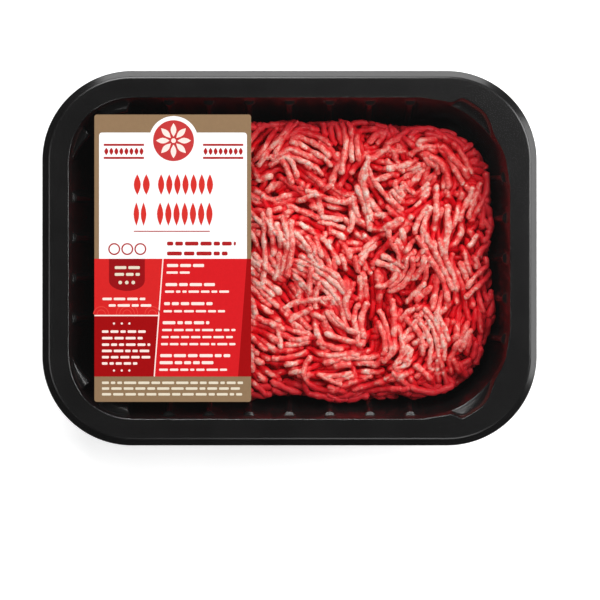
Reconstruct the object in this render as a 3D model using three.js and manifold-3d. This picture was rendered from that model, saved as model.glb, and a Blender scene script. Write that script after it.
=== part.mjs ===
// Meat tray pack: a black formed plastic tray, filled with minced beef and closed by a clear film with a label.
// Millimetres, +Z up. The origin is the middle of the tray's underside. +X runs along the long side, away from
// the label's end, and +Y along the short side, towards the label's top edge.

import * as THREE from 'three';
import { mergeVertices } from 'three/addons/utils/BufferGeometryUtils.js';
import Module from 'manifold-3d';

// The tray: a standard 190 x 144 mm size, formed from one sheet.
const tray = { length: 190, width: 144, height: 40, radius: 34.5, sheet: 0.8 };
const lip = { drop: 3, edge: 2, edgeInset: 0.25, roundInset: 1.1, roundDrop: 0.7, bevel: 2.7 };
const flange = { width: 10.3, flatEnd: 9.7, mouthDrop: 0.3, throat: 0.35, throatDrop: 1 };
const wall = { shelfInset: 11.2, brinkInset: 11.3, topInset: 11.5, footInset: 18.2, footHeight: 7 };
const shelf = { start: 3.2, drop: 0.7, run: 2, underDrop: 0.5 };
const floor = { curveInset: 19.8, curveHeight: 3.2, toeInset: 22, toeHeight: 1.4, edgeInset: 24.5 };
const panel = { inset: 30, slope: 1.2, rise: 1 };

// Ribs that stand in from the walls. The counts run front, right, back, left, and the last two sides differ on
// purpose, so that a tray turned half round doesn't jam when it is stacked.
const rib = { counts: [7, 5, 7, 4], pitch: 15.5, depth: 1.6, crown: 0.8, foot: 2.1 };

// Stacking features: ledges flank the two corners at the label's end, and scoops cut the two other corners. Their
// places are turns in degrees: a scoop's from the long side, and a ledge's both ways from the corner's middle.
const ledge = { depth: 4.8, gap: 8.5, full: 14.5, fade: 38, end: 45, taperStart: 17, taperEnd: 49 };
const scoop = { depth: 3.4, start: 5, full: 13, fade: 34, end: 68 };
const cornerFill = { depth: 4.3, reach: 37.4, floorShare: 0.35 };

// The heap of mince, in a rounded outline of its own that stands clear of the ribs. The core's side follows the
// tray's wall, with a wavy edge, and its top lies in low clumps.
const heap = { length: 153, width: 109.8, radius: 30, offsetX: 2.3, offsetY: -0.7, top: 28.6 };
const heapSide = [
  { inset: 9, z: 2.1, wave: 0 },
  { inset: 5.2, z: 4.8, wave: 0.3 },
  { inset: 3.4, z: 10.5, wave: 0.3 },
  { inset: 2.4, z: 17.5, wave: 0.6 },
  { inset: 2.2, z: 22, wave: 1 },
];
const heapTop = { insets: [3.6, 7, 12], wave: 0.5, innerShares: [0.78, 0.55, 0.3], step: 11 };
const heapShoulder = { width: 9, drop: 5.5 };
const edgeWave = { ripple: 0.8, rippleLength: 41, swell: 0.6, swellLength: 94 };
const clump = { height: 0.8, length: 55, sway: 95 };
const mound = { height: 0.7, length: 180 };

// Strands of mince, and how the way they lie swings round across the heap.
const strand = { radius: 1.75, sides: 5, step: 7.5, shortest: 15, longest: 26, apart: 3.3, lift: 0.6, keepIn: 2.2 };
const strandBend = { turn: 0.6, perLength: 0.06 };
const heading = { base: 2.1, swing: 1.1, swingLength: 132, drift: 0.9, driftLength: 170 };
const strandTries = 20000;
const strandSamples = 9;
const strandSeed = 20;

// The clear film lies on the flat of the flange, and the label on the film.
const film = { inset: 3.2, thickness: 0.25 };
const label = { width: 60, height: 110, x: -44.7, y: 0, radius: 1, thickness: 0.25 };

// How finely round corners are stepped, and how near two points are one.
const cornerSteps = { tray: 10, ledge: 3, gap: 2, heap: 6, film: 6, label: 2 };
const mergeDistance = 1e-3;
const simplifyDistance = 0.05;
const degrees = Math.PI / 180;

const smooth = (from, to, value) => THREE.MathUtils.smoothstep(value, from, to);

// Repeatable random numbers from 0 to 1.
function seededRandom(seed) {
  let state = seed;
  return () => {
    state = (state * 1664525 + 1013904223) % 4294967296;
    return state / 4294967296;
  };
}

// The four sides of a rounded rectangle, counter-clockwise from the front: where each runs, how far it is from the
// middle, half the length of its straight stretch, and its distance round the outline.
function sidesOf({ length, width, radius }) {
  let start = 0;
  return [0, 1, 2, 3].map((index) => {
    const turn = (index * Math.PI) / 2;
    const across = index % 2 ? length / 2 : width / 2;
    const half = (index % 2 ? width : length) / 2 - radius;
    const side = { index, dir: [Math.cos(turn), Math.sin(turn)], normal: [Math.sin(turn), -Math.cos(turn)] };
    Object.assign(side, { across, half, radius, start });
    start += 2 * half + (radius * Math.PI) / 2;
    return side;
  });
}

const perimeterOf = (outline) => {
  const last = sidesOf(outline)[3];
  return last.start + 2 * last.half + (last.radius * Math.PI) / 2;
};

// A station is a point of an outline with its outward normal. Along a side it knows its distance from the side's
// middle, and in a corner its turn in degrees from the side before it.
function sideStation({ index, dir, normal, across, half, start }, along) {
  const x = dir[0] * along + normal[0] * across;
  const y = dir[1] * along + normal[1] * across;
  return { x, y, nx: normal[0], ny: normal[1], key: start + half + along, side: index, along };
}

function cornerStation({ index, dir, normal, across, half, radius, start }, turn) {
  const c = Math.cos(turn * degrees);
  const s = Math.sin(turn * degrees);
  const nx = normal[0] * c + dir[0] * s;
  const ny = normal[1] * c + dir[1] * s;
  const x = dir[0] * half + normal[0] * (across - radius) + nx * radius;
  const y = dir[1] * half + normal[1] * (across - radius) + ny * radius;
  return { x, y, nx, ny, key: start + 2 * half + radius * turn * degrees, corner: index, turn };
}

// Stations round an outline: on each side at the places that alongSide lists, and in the corner after it at the
// turns that throughCorner lists.
function stationsOf(outline, alongSide, throughCorner) {
  return sidesOf(outline).flatMap((side) => [
    ...alongSide(side).map((along) => sideStation(side, along)),
    ...throughCorner(side.index).map((turn) => cornerStation(side, turn)),
  ]);
}

const evenly = (from, to, steps) => Array.from({ length: steps + 1 }, (_, i) => from + ((to - from) * i) / steps);

// The tray's corners turn in even steps, but the two at the label's end break them at the ends of the ledges.
function trayTurns(corner) {
  if (corner < 2) return evenly(0, 90, cornerSteps.tray);
  const byShortSide = evenly(0, 45 - ledge.full, cornerSteps.ledge);
  const across = evenly(45 - ledge.gap, 45 + ledge.gap, cornerSteps.gap);
  const byLongSide = evenly(45 + ledge.full, 45 + ledge.fade, cornerSteps.ledge);
  const turns = [...byShortSide, ...across, ...byLongSide, 90];
  return corner === 3 ? turns : turns.map((turn) => 90 - turn).reverse();
}

const ribCentres = (index) => {
  const outermost = ((rib.counts[index] - 1) / 2) * rib.pitch;
  return evenly(-outermost, outermost, rib.counts[index] - 1);
};

// Places on a side where the wide corner's curve runs out, next to the two right-hand corners.
function fillPlaces({ index, half }) {
  const reach = cornerFill.reach - (tray.radius * Math.PI) / 4;
  const ends = { 0: [1], 1: [-1, 1], 2: [-1], 3: [] }[index];
  return ends.flatMap((end) => [end * (half - reach), end * (half - reach / 2)]).sort((a, b) => a - b);
}

function ribPlaces(side) {
  const across = [-rib.foot, -rib.crown, rib.crown, rib.foot];
  const places = ribCentres(side.index).flatMap((centre) => across.map((offset) => centre + offset));
  return [...places, ...fillPlaces(side)].sort((a, b) => a - b);
}

function ribShare({ side, along }) {
  if (side === undefined) return 0;
  const nearest = Math.min(...ribCentres(side).map((centre) => Math.abs(along - centre)));
  return 1 - smooth(rib.crown, rib.foot, nearest);
}

// How much of the wide corner's fill a station has. It follows the distance round the outline, so that it runs on
// along the sides beside the corner.
function fillShare({ key }) {
  const round = perimeterOf(tray);
  const shares = sidesOf(tray).slice(0, 2).map(({ start, half, radius }) => {
    const middle = start + 2 * half + (radius * Math.PI) / 4;
    const apart = Math.abs(key - middle);
    const nearest = Math.min(apart, round - apart);
    return nearest < cornerFill.reach ? Math.cos((nearest / cornerFill.reach) * (Math.PI / 2)) : 0;
  });
  return Math.max(...shares);
}

// The scoop in a right-hand corner is fullest beside the long side.
function scoopShare({ corner, turn }) {
  if (corner === undefined || corner > 1) return 0;
  const fromLongSide = corner === 0 ? turn : 90 - turn;
  return smooth(scoop.start, scoop.full, fromLongSide) * (1 - smooth(scoop.fade, scoop.end, fromLongSide));
}

// The two ledges in a left-hand corner leave a gap between them, and the one by the short side tapers away.
function ledgeShare({ corner, turn }) {
  if (corner === undefined || corner < 2) return 0;
  const fromShortSide = corner === 3 ? turn : 90 - turn;
  const offMiddle = Math.abs(fromShortSide - 45);
  const rise = smooth(ledge.gap, ledge.full, offMiddle);
  if (fromShortSide > 45) return rise * (1 - smooth(ledge.fade, ledge.end, offMiddle));
  const taper = (ledge.taperEnd - offMiddle) / (ledge.taperEnd - ledge.taperStart);
  return rise * THREE.MathUtils.clamp(taper, 0, 1);
}

// The levels of the tray's upper surface, from the lip's cut edge in to the floor's raised panel. Each says which
// features shape it and how much, and whether its outline needs the ribs' stations. The underside leaves out the
// fine ones.
function trayLevels() {
  const rim = tray.height;
  const shelfTop = rim - shelf.start;
  const corner = { fill: 1, scoop: 1 };
  const carved = { fill: 1, ribbed: true };
  const onFloor = { fill: cornerFill.floorShare };
  return [
    { inset: 0, z: rim - lip.drop },
    { inset: lip.edgeInset, z: rim - lip.edge, fine: true },
    { inset: lip.roundInset, z: rim - lip.roundDrop },
    { inset: lip.bevel, z: rim },
    { inset: flange.flatEnd, z: rim, ...corner },
    { inset: flange.width, z: rim - flange.mouthDrop, ...corner, fine: true },
    { inset: flange.width + flange.throat, z: rim - flange.throatDrop, ...corner },
    { inset: wall.shelfInset, z: shelfTop, ...corner, ribbed: true, shelf: 1 },
    { inset: wall.brinkInset, z: shelfTop - shelf.drop, ...carved, rib: 0.6, ledge: 0.9, shelf: 1 },
    { inset: wall.topInset, z: shelfTop - shelf.run, ...carved, rib: 1, ledge: 1 },
    { inset: wall.footInset, z: wall.footHeight, fill: 0.6, ribbed: true, rib: 1, ledge: 1 },
    { inset: floor.curveInset, z: floor.curveHeight, fill: 0.5, ribbed: true },
    { inset: floor.toeInset, z: floor.toeHeight, ...onFloor, fine: true },
    { inset: floor.edgeInset, z: tray.sheet, ...onFloor },
    { inset: panel.inset, z: tray.sheet },
    { inset: panel.inset + panel.slope, z: tray.sheet + panel.rise },
  ];
}

// How far in from the rim a station lies at a level, past what the plain profile gives.
function featureInset(station, level) {
  const ribbed = level.inset + (level.rib ?? 0) * rib.depth * ribShare(station);
  const ledged = flange.width + (level.ledge ?? 0) * ledge.depth * ledgeShare(station);
  const carved = level.ledge ? Math.max(ribbed, ledged) : ribbed;
  const filled = (level.fill ?? 0) * cornerFill.depth * fillShare(station);
  return carved - level.inset + filled - (level.scoop ?? 0) * scoop.depth * scoopShare(station);
}

// The profile moved by the sheet's thickness to its underside, with mitred corners.
function undersideOf(levels, thickness) {
  const normals = levels.slice(1).map((level, i) => {
    const along = new THREE.Vector2(level.inset - levels[i].inset, level.z - levels[i].z).normalize();
    return new THREE.Vector2(along.y, -along.x);
  });
  normals.push(new THREE.Vector2(0, -1));
  return levels.map((level, i) => {
    const before = normals[Math.max(i - 1, 0)];
    const middle = before.clone().add(normals[i]).normalize();
    const reach = thickness / middle.dot(normals[i]);
    return { ...level, inset: level.inset + middle.x * reach, z: level.z + middle.y * reach };
  });
}

// A surface laid through rings of points. Neighbouring rings may have different numbers of points: a strip
// advances along whichever ring is behind in its distance round the outline.
class RingSurface {
  constructor(perimeter) {
    this.perimeter = perimeter;
    this.positions = [];
    this.index = [];
  }

  addPoint(point) {
    return this.positions.push(point.x, point.y, point.z) / 3 - 1;
  }

  addRing(points) {
    return points.map((point) => ({ id: this.addPoint(point), key: point.key, point }));
  }

  addTriangle(a, b, c, flipped) {
    this.index.push(...(flipped ? [a, c, b] : [a, b, c]));
  }

  strip(outer, inner, flipped) {
    const keyAt = (ring, i) => (i < ring.length ? ring[i].key : ring[0].key + this.perimeter);
    let i = 0;
    let j = 0;
    while (i < outer.length || j < inner.length) {
      const here = outer[i % outer.length].id;
      const there = inner[j % inner.length].id;
      if (j === inner.length || (i < outer.length && keyAt(outer, i + 1) <= keyAt(inner, j + 1))) {
        i += 1;
        this.addTriangle(here, outer[i % outer.length].id, there, flipped);
      } else {
        j += 1;
        this.addTriangle(here, inner[j % inner.length].id, there, flipped);
      }
    }
  }

  strips(rings, flipped) {
    rings.slice(1).forEach((inner, i) => this.strip(rings[i], inner, flipped));
  }

  fan(ring, flipped) {
    const middle = ring.reduce((sum, { point }) => sum.add(point), new THREE.Vector3()).divideScalar(ring.length);
    const centre = this.addPoint(middle);
    ring.forEach(({ id }, i) => this.addTriangle(centre, id, ring[(i + 1) % ring.length].id, flipped));
  }

  geometry() {
    const geometry = new THREE.BufferGeometry();
    geometry.setAttribute('position', new THREE.Float32BufferAttribute(this.positions, 3));
    geometry.setIndex(this.index);
    return geometry;
  }
}

function ringPoint(station, inset, z) {
  const point = new THREE.Vector3(station.x - station.nx * inset, station.y - station.ny * inset, z);
  point.key = station.key;
  return point;
}

// The tray is one sheet: an upper side and an underside, joined at the lip's cut edge.
function trayGeometry() {
  const plainStations = stationsOf(tray, fillPlaces, trayTurns);
  const ribbedStations = stationsOf(tray, ribPlaces, trayTurns);
  const levels = trayLevels();
  const coarse = levels.filter((level) => !level.fine);
  const ringOf = (level, shape, lowering) =>
    (level.ribbed ? ribbedStations : plainStations).map((station) => {
      const inset = level.inset + featureInset(station, shape);
      return ringPoint(station, inset, level.z - (level.shelf ? lowering * ledgeShare(station) : 0));
    });
  const surface = new RingSurface(perimeterOf(tray));
  const upper = levels.map((level) => surface.addRing(ringOf(level, level, 0)));
  const under = undersideOf(coarse, tray.sheet).map((level, i) =>
    surface.addRing(ringOf(level, coarse[i], shelf.underDrop)),
  );
  surface.strips(upper, false);
  surface.fan(upper.at(-1), false);
  surface.strips(under, true);
  surface.fan(under.at(-1), true);
  surface.strip(under[0], upper[0], false);
  return surface.geometry();
}

// Signed distance in from the heap's outline, positive inside.
function heapDepth(x, y) {
  const cx = Math.abs(x - heap.offsetX) - (heap.length / 2 - heap.radius);
  const cy = Math.abs(y - heap.offsetY) - (heap.width / 2 - heap.radius);
  return heap.radius - Math.hypot(Math.max(cx, 0), Math.max(cy, 0)) - Math.min(Math.max(cx, cy), 0);
}

const waveOf = (place, length, phase = 0) => Math.sin((place / length) * 2 * Math.PI + phase);

// The height of the mince under its loose strands: a level top in low clumps, with a rounded shoulder.
function heapHeight(x, y) {
  const alongX = waveOf(x, clump.length, waveOf(y, clump.sway));
  const alongY = waveOf(y, clump.length, 1 + waveOf(x, clump.sway));
  const broad = mound.height * waveOf(x, mound.length, 0.6) * waveOf(y, mound.length, Math.PI / 2);
  const share = THREE.MathUtils.clamp(heapDepth(x, y) / heapShoulder.width, 0, 1);
  const shoulder = heapShoulder.drop * (1 - Math.sqrt(1 - (1 - share) ** 2));
  return heap.top + clump.height * (alongX + alongY) + broad - shoulder;
}

// The core under the strands. Each ring nearer the middle has half the points of the one outside it.
function heapCore() {
  const alongSide = ({ half }) => evenly(-half, half, Math.round((2 * half) / heapTop.step)).slice(1, -1);
  const stations = stationsOf(heap, alongSide, () => evenly(0, 90, cornerSteps.heap));
  const wavy = ({ key }) =>
    edgeWave.ripple * waveOf(key, edgeWave.rippleLength) + edgeWave.swell * waveOf(key, edgeWave.swellLength, 2);
  const heapPoint = (station, inset, z, share = 1) => {
    const point = ringPoint(station, inset, z);
    point.set(heap.offsetX + point.x * share, heap.offsetY + point.y * share, z);
    return point;
  };
  const onTop = (point) => {
    point.z = heapHeight(point.x, point.y);
    return point;
  };
  const side = heapSide.map(({ inset, z, wave }) =>
    stations.map((station) => heapPoint(station, inset + wave * Math.max(0, wavy(station)), z)),
  );
  const top = heapTop.insets.map((inset) =>
    stations.map((station) => onTop(heapPoint(station, inset + heapTop.wave * wavy(station), 0))),
  );
  const inner = heapTop.innerShares.map((share, i) =>
    stations
      .filter((_, order) => order % 2 ** i === 0)
      .map((station) => onTop(heapPoint(station, heapTop.insets.at(-1), 0, share))),
  );
  const surface = new RingSurface(perimeterOf(heap));
  const rings = [...side, ...top, ...inner].map((points) => surface.addRing(points));
  surface.strips(rings, false);
  surface.fan(rings.at(-1), false);
  surface.fan(rings[0], true);
  return surface.geometry();
}

// The way the strands lie at a point: bundles that swing round from clump to clump.
const headingAt = (x, y) =>
  heading.base +
  heading.swing * waveOf(x, heading.swingLength, 0.8) * waveOf(y, heading.swingLength, Math.PI / 2) +
  heading.drift * waveOf(y - x / 2, heading.driftLength, 2);

// The line of one strand, from its middle out both ways, kept inside the heap's outline and laid over its surface.
function strandLine(x, y, random) {
  const length = THREE.MathUtils.lerp(strand.shortest, strand.longest, random());
  const bend = (random() - 0.5) * strandBend.perLength;
  const start = headingAt(x, y) + (random() - 0.5) * strandBend.turn;
  const lift = strand.lift * (0.3 + random());
  const points = evenly(-length / 2, length / 2, 4).map((along) => {
    const turned = start + bend * along;
    return new THREE.Vector3(x + Math.cos(turned) * along, y + Math.sin(turned) * along, 0);
  });
  if (points.some((point) => heapDepth(point.x, point.y) < strand.keepIn)) return null;
  for (const point of points) point.z = heapHeight(point.x, point.y) + lift;
  return new THREE.CatmullRomCurve3(points);
}

// Strands side by side over the whole top of the heap, tried at random places and kept where there is room.
function strandLines() {
  const random = seededRandom(strandSeed);
  const taken = [];
  const lines = [];
  for (let tries = 0; tries < strandTries; tries += 1) {
    const x = heap.offsetX + (random() - 0.5) * heap.length;
    const y = heap.offsetY + (random() - 0.5) * heap.width;
    const line = strandLine(x, y, random);
    const samples = line ? line.getPoints(strandSamples) : [];
    const clear = samples.every((p) => taken.every((q) => Math.hypot(p.x - q.x, p.y - q.y) > strand.apart));
    if (line && clear) {
      lines.push(line);
      taken.push(...samples);
    }
  }
  return lines;
}

function strandGeometry(extrudePath) {
  const corners = Array.from({ length: strand.sides }, (_, i) => {
    const angle = (i / strand.sides) * 2 * Math.PI;
    return new THREE.Vector2(Math.cos(angle), Math.sin(angle)).multiplyScalar(strand.radius);
  });
  const section = new THREE.Shape(corners);
  const steps = Math.round(extrudePath.getLength() / strand.step);
  return new THREE.ExtrudeGeometry(section, { steps, extrudePath, bevelEnabled: false });
}

const wasm = await Module();
wasm.setup();

function solidOf(geometry) {
  const bare = geometry.clone();
  bare.deleteAttribute('normal');
  bare.deleteAttribute('uv');
  const merged = mergeVertices(bare, mergeDistance);
  const vertProperties = merged.attributes.position.array;
  const triVerts = new Uint32Array(merged.index.array);
  return new wasm.Manifold(new wasm.Mesh({ numProp: 3, vertProperties, triVerts }));
}

function geometryOf(solid) {
  const { vertProperties, triVerts } = solid.getMesh();
  const geometry = new THREE.BufferGeometry();
  geometry.setAttribute('position', new THREE.BufferAttribute(vertProperties, 3));
  geometry.setIndex(new THREE.BufferAttribute(triVerts, 1));
  return geometry;
}

// The core with every strand fused on. Pockets that the strands seal off under themselves are filled.
function minceGeometry() {
  const strands = strandLines().map((line) => solidOf(strandGeometry(line)));
  const fused = wasm.Manifold.union([solidOf(heapCore()), ...strands]).simplify(simplifyDistance);
  const outside = fused.decompose().reduce((a, b) => (b.volume() > a.volume() ? b : a));
  return geometryOf(outside);
}

function roundedSheet(length, width, radius, thickness, curveSegments) {
  const [hx, hy] = [length / 2, width / 2];
  const shape = new THREE.Shape();
  shape.absarc(hx - radius, hy - radius, radius, 0, Math.PI / 2);
  shape.absarc(radius - hx, hy - radius, radius, Math.PI / 2, Math.PI);
  shape.absarc(radius - hx, radius - hy, radius, Math.PI, Math.PI * 1.5);
  shape.absarc(hx - radius, radius - hy, radius, Math.PI * 1.5, Math.PI * 2);
  return new THREE.ExtrudeGeometry(shape, { depth: thickness, bevelEnabled: false, curveSegments });
}

const trayPlastic = new THREE.MeshStandardMaterial({ color: 0x171717, roughness: 0.38, metalness: 0 });
const mincedBeef = new THREE.MeshStandardMaterial({ color: 0xb82a2c, roughness: 0.35, metalness: 0 });
const clearFilm = new THREE.MeshStandardMaterial({ color: 0xffffff, roughness: 0.08, metalness: 0 });
clearFilm.transparent = true;
clearFilm.opacity = 0.12;
const labelPaper = new THREE.MeshStandardMaterial({ color: 0xc9301f, roughness: 0.5, metalness: 0 });

function named(name, geometry, material) {
  const mesh = new THREE.Mesh(geometry, material);
  mesh.name = name;
  return mesh;
}

const pack = new THREE.Group();

const trayMesh = named('tray', trayGeometry(), trayPlastic);

const minceMesh = named('mince', minceGeometry(), mincedBeef);

const filmSize = [tray.length - 2 * film.inset, tray.width - 2 * film.inset, tray.radius - film.inset];
const filmMesh = named('lidding_film', roundedSheet(...filmSize, film.thickness, cornerSteps.film), clearFilm);
filmMesh.position.z = tray.height;

const labelGeometry = roundedSheet(label.width, label.height, label.radius, label.thickness, cornerSteps.label);
const labelMesh = named('label', labelGeometry, labelPaper);
labelMesh.position.set(label.x, label.y, tray.height + film.thickness);

pack.add(trayMesh, minceMesh, filmMesh, labelMesh);

export default pack;
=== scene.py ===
# Meat tray pack: a black formed tray of minced beef under clear film, with a printed label on the film.
# Every shape below is worked out in millimetres and written to its mesh in metres.
import math
import bpy
import numpy as np
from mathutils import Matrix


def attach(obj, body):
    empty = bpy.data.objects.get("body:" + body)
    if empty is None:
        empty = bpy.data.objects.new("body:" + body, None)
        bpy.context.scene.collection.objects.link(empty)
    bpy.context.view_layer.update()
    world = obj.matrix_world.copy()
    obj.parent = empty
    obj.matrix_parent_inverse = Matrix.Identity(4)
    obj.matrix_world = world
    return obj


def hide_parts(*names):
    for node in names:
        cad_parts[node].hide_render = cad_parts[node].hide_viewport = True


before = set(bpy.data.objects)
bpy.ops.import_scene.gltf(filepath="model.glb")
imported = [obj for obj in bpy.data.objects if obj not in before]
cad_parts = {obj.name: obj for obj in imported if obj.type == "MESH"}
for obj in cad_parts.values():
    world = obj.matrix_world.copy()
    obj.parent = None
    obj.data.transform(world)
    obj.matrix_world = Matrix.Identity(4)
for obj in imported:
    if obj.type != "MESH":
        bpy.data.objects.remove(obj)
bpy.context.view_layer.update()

mm = 0.001
scene = bpy.context.scene
print("frame loaded:", ", ".join(sorted(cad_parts)))


# Shader wiring

class Wire:  # a socket that can be reckoned with
    def __init__(self, tree, socket=None):
        self.tree = tree
        self.socket = socket

    def node(self, kind, settings=None, sockets=None, out=0):
        made = self.tree.nodes.new(kind)
        for name, value in (settings or {}).items():
            setattr(made, name, value)
        for name, value in (sockets or {}).items():
            if isinstance(value, Wire):
                self.tree.links.new(value.socket, made.inputs[name])
            else:
                made.inputs[name].default_value = value
        return Wire(self.tree, made.outputs[out])

    def maths(self, operation, *values):
        return self.node("ShaderNodeMath", {"operation": operation}, dict(enumerate(values)))

    def __add__(self, other):
        return self.maths("ADD", self, other)

    def __sub__(self, other):
        return self.maths("SUBTRACT", self, other)

    def __rsub__(self, other):
        return self.maths("SUBTRACT", other, self)

    def __mul__(self, other):
        return self.maths("MULTIPLY", self, other)

    __radd__ = __add__
    __rmul__ = __mul__

    def ease(self, low, high):  # 0 below low, 1 above high, smooth between
        return self.node("ShaderNodeMapRange", {"interpolation_type": "SMOOTHSTEP"},
                         {"Value": self, "From Min": low, "From Max": high})

    def blend(self, first, second):  # a colour from first (at 0) to second (at 1)
        first, second = ((*value, 1) if isinstance(value, tuple) else value for value in (first, second))
        return self.node("ShaderNodeMix", {"data_type": "RGBA"}, {0: self, 6: first, 7: second}, out=2)

    def stretch(self, factors):  # a vector with each axis scaled
        return self.node("ShaderNodeVectorMath", {"operation": "MULTIPLY"}, {0: self, 1: factors})

    def noise(self, size, detail=2.0, roughness=0.5, distortion=0.0):  # size of a blotch in mm
        return self.node("ShaderNodeTexNoise", None, {
            "Vector": self, "Scale": 1 / (size * mm), "Detail": detail, "Roughness": roughness,
            "Distortion": distortion})

    def bump(self, strength, depth):  # a normal from this height, depth in mm
        return self.node("ShaderNodeBump", None, {
            "Height": self, "Strength": strength, "Distance": depth * mm})

    def attribute(self, name):
        return self.node("ShaderNodeAttribute", {"attribute_name": name}, None, out="Fac")


def newMaterial(name, constants):  # a material, its shader and its place on the piece
    made = bpy.data.materials.new(name)
    made.use_nodes = True
    shader = made.node_tree.nodes["Principled BSDF"]
    for socket, value in constants.items():
        shader.inputs[socket].default_value = (*value, 1) if socket == "Base Color" else value
    place = Wire(made.node_tree).node("ShaderNodeTexCoord", None, None, out="Object")
    return made, shader, place


def plug(shader, socket, wire):
    wire.tree.links.new(wire.socket, shader.inputs[socket])


# Mesh making

def makePiece(name, points, faces, material, smooth=True):
    mesh = bpy.data.meshes.new(name)
    corners = np.concatenate([group.ravel() for group in faces]).astype(np.int32)
    sizes = np.concatenate([np.full(len(group), group.shape[1]) for group in faces])
    starts = np.concatenate([[0], np.cumsum(sizes)[:-1]]).astype(np.int32)
    mesh.vertices.add(len(points))
    mesh.vertices.foreach_set("co", (np.asarray(points) * mm).ravel())
    mesh.loops.add(len(corners))
    mesh.loops.foreach_set("vertex_index", corners)
    mesh.polygons.add(len(sizes))
    mesh.polygons.foreach_set("loop_start", starts)
    mesh.polygons.foreach_set("use_smooth", np.full(len(sizes), smooth))
    mesh.update(calc_edges=True)
    mesh.validate()
    mesh.materials.append(material)
    made = bpy.data.objects.new(name, mesh)
    scene.collection.objects.link(made)
    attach(made, "root")
    return made


def setAttributes(piece, looks):  # one value a point, for the material to go by
    for name, values in looks.items():
        layer = piece.data.attributes.new(name, "FLOAT", "POINT")
        layer.data.foreach_set("value", np.asarray(values, dtype=np.float32))


def tubeFaces(rings, around):  # quads between neighbouring closed rings
    first = np.arange(rings - 1)[:, None] * around
    here = np.arange(around)[None, :]
    after = (here + 1) % around
    quads = np.stack([first + here, first + after, first + around + after, first + around + here], axis=-1)
    return quads.reshape(-1, 4)


def fanFaces(start, around, centre, flipped):  # triangles that close a ring
    here = start + np.arange(around)
    after = start + (np.arange(around) + 1) % around
    middle = np.full(around, centre)
    return np.stack([middle, after, here] if flipped else [middle, here, after], axis=-1)


def closedRings(rings, around):  # a tube whose two ends are closed by two last points
    last = rings * around
    return [tubeFaces(rings, around), fanFaces(0, around, last, True),
            fanFaces(last - around, around, last + 1, False)]


def smoothStep(low, high, value):
    share = np.clip((np.asarray(value, dtype=float) - low) / (high - low), 0, 1)
    return share * share * (3 - 2 * share)


def wave(place, length, phase=0.0):
    return np.sin(place / length * 2 * math.pi + phase)


def roundedRing(length, width, radius, steps):  # points of a rounded rectangle, counter-clockwise
    turns = np.radians(np.linspace(0, 90, steps + 1))
    ring = []
    for index, (sx, sy) in enumerate([(1, -1), (1, 1), (-1, 1), (-1, -1)]):
        angles = turns + math.radians(index * 90 - 90)
        x = sx * (length / 2 - radius) + radius * np.cos(angles)
        y = sy * (width / 2 - radius) + radius * np.sin(angles)
        ring.append(np.stack([x, y], axis=-1))
    return np.concatenate(ring)


def lifted(flat, z):  # the points of a flat outline, at a height
    return np.column_stack([flat, np.full(len(flat), z)])


# Camera, light and floor

view = {
    "lens": 135, "rim": 40,  # the rim's height, where the frame is measured
    "frameWidth": 229.8, "pixels": 600,  # mm at the rim that the photo's pixels span
    "left": 10.5, "up": 41.8,  # the pack's middle off the image's, in pixels
}
studio = {
    "sky": (0.045, 0.045, 0.047), "floor": 0.88, "floorGlow": 0.68, "floorReach": 3,
    "lights": {  # place in m, width and height in m, power in W
        "overhead": ((0.57, 0.48, 2.0), (1.2, 1.0), 1.45),
        "right strip": ((1.5, 0.15, 0.62), (1.3, 0.5), 9.5),
        "back strip": ((0.05, 1.5, 0.62), (1.6, 0.5), 13),
        "right high": ((1.0, 0.3, 1.3), (0.7, 0.6), 12.2),
        "back high": ((-0.2, 1.0, 1.3), (0.7, 0.6), 13.2),
        "left high": ((-0.85, -0.1, 1.4), (0.5, 0.5), 2.4),
        "front high": ((0.2, -0.85, 1.4), (0.5, 0.5), 2.8),
    },
}


def makeCamera():
    camera = bpy.data.cameras.new("camera")
    camera.lens = view["lens"]
    camera.shift_x = view["left"] / view["pixels"]
    camera.shift_y = -view["up"] / view["pixels"]
    distance = view["frameWidth"] * camera.lens / camera.sensor_width
    holder = bpy.data.objects.new("camera", camera)
    holder.location = (0, 0, (distance + view["rim"]) * mm)
    scene.collection.objects.link(holder)
    scene.camera = holder


def makeLight(name, place, size, power):
    light = bpy.data.lights.new(name, "AREA")
    light.shape = "RECTANGLE"
    light.size, light.size_y = size
    light.energy = power
    holder = bpy.data.objects.new(name, light)
    holder.location = place
    holder.rotation_euler = (-holder.location).to_track_quat("-Z", "Y").to_euler()
    scene.collection.objects.link(holder)


def makeFloor():
    grey = studio["floor"]
    material, shader, place = newMaterial("floor", {
        "Base Color": (grey, grey, grey), "Roughness": 0.9, "Emission Strength": studio["floorGlow"]})
    tint = place.noise(60).ease(0.3, 0.7).blend((grey - 0.01,) * 3, (grey + 0.01,) * 3)
    plug(shader, "Base Color", tint)
    plug(shader, "Emission Color", tint)
    mesh = bpy.data.meshes.new("floor")
    reach = studio["floorReach"]
    mesh.from_pydata([(-reach, -reach, 0), (reach, -reach, 0), (reach, reach, 0), (-reach, reach, 0)],
                     [], [(0, 1, 2, 3)])
    mesh.materials.append(material)
    floor = bpy.data.objects.new("floor", mesh)
    scene.collection.objects.link(floor)


makeCamera()
world = bpy.data.worlds.new("studio")
world.use_nodes = True
world.node_tree.nodes["Background"].inputs["Color"].default_value = (*studio["sky"], 1)
scene.world = world
for lightName, (place, size, power) in studio["lights"].items():
    makeLight(lightName, place, size, power)
makeFloor()
scene.view_settings.view_transform = "Standard"
print("camera, lights and floor")


# Tray: one thin sheet, worked out from its profile and from what changes round the outline

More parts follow.
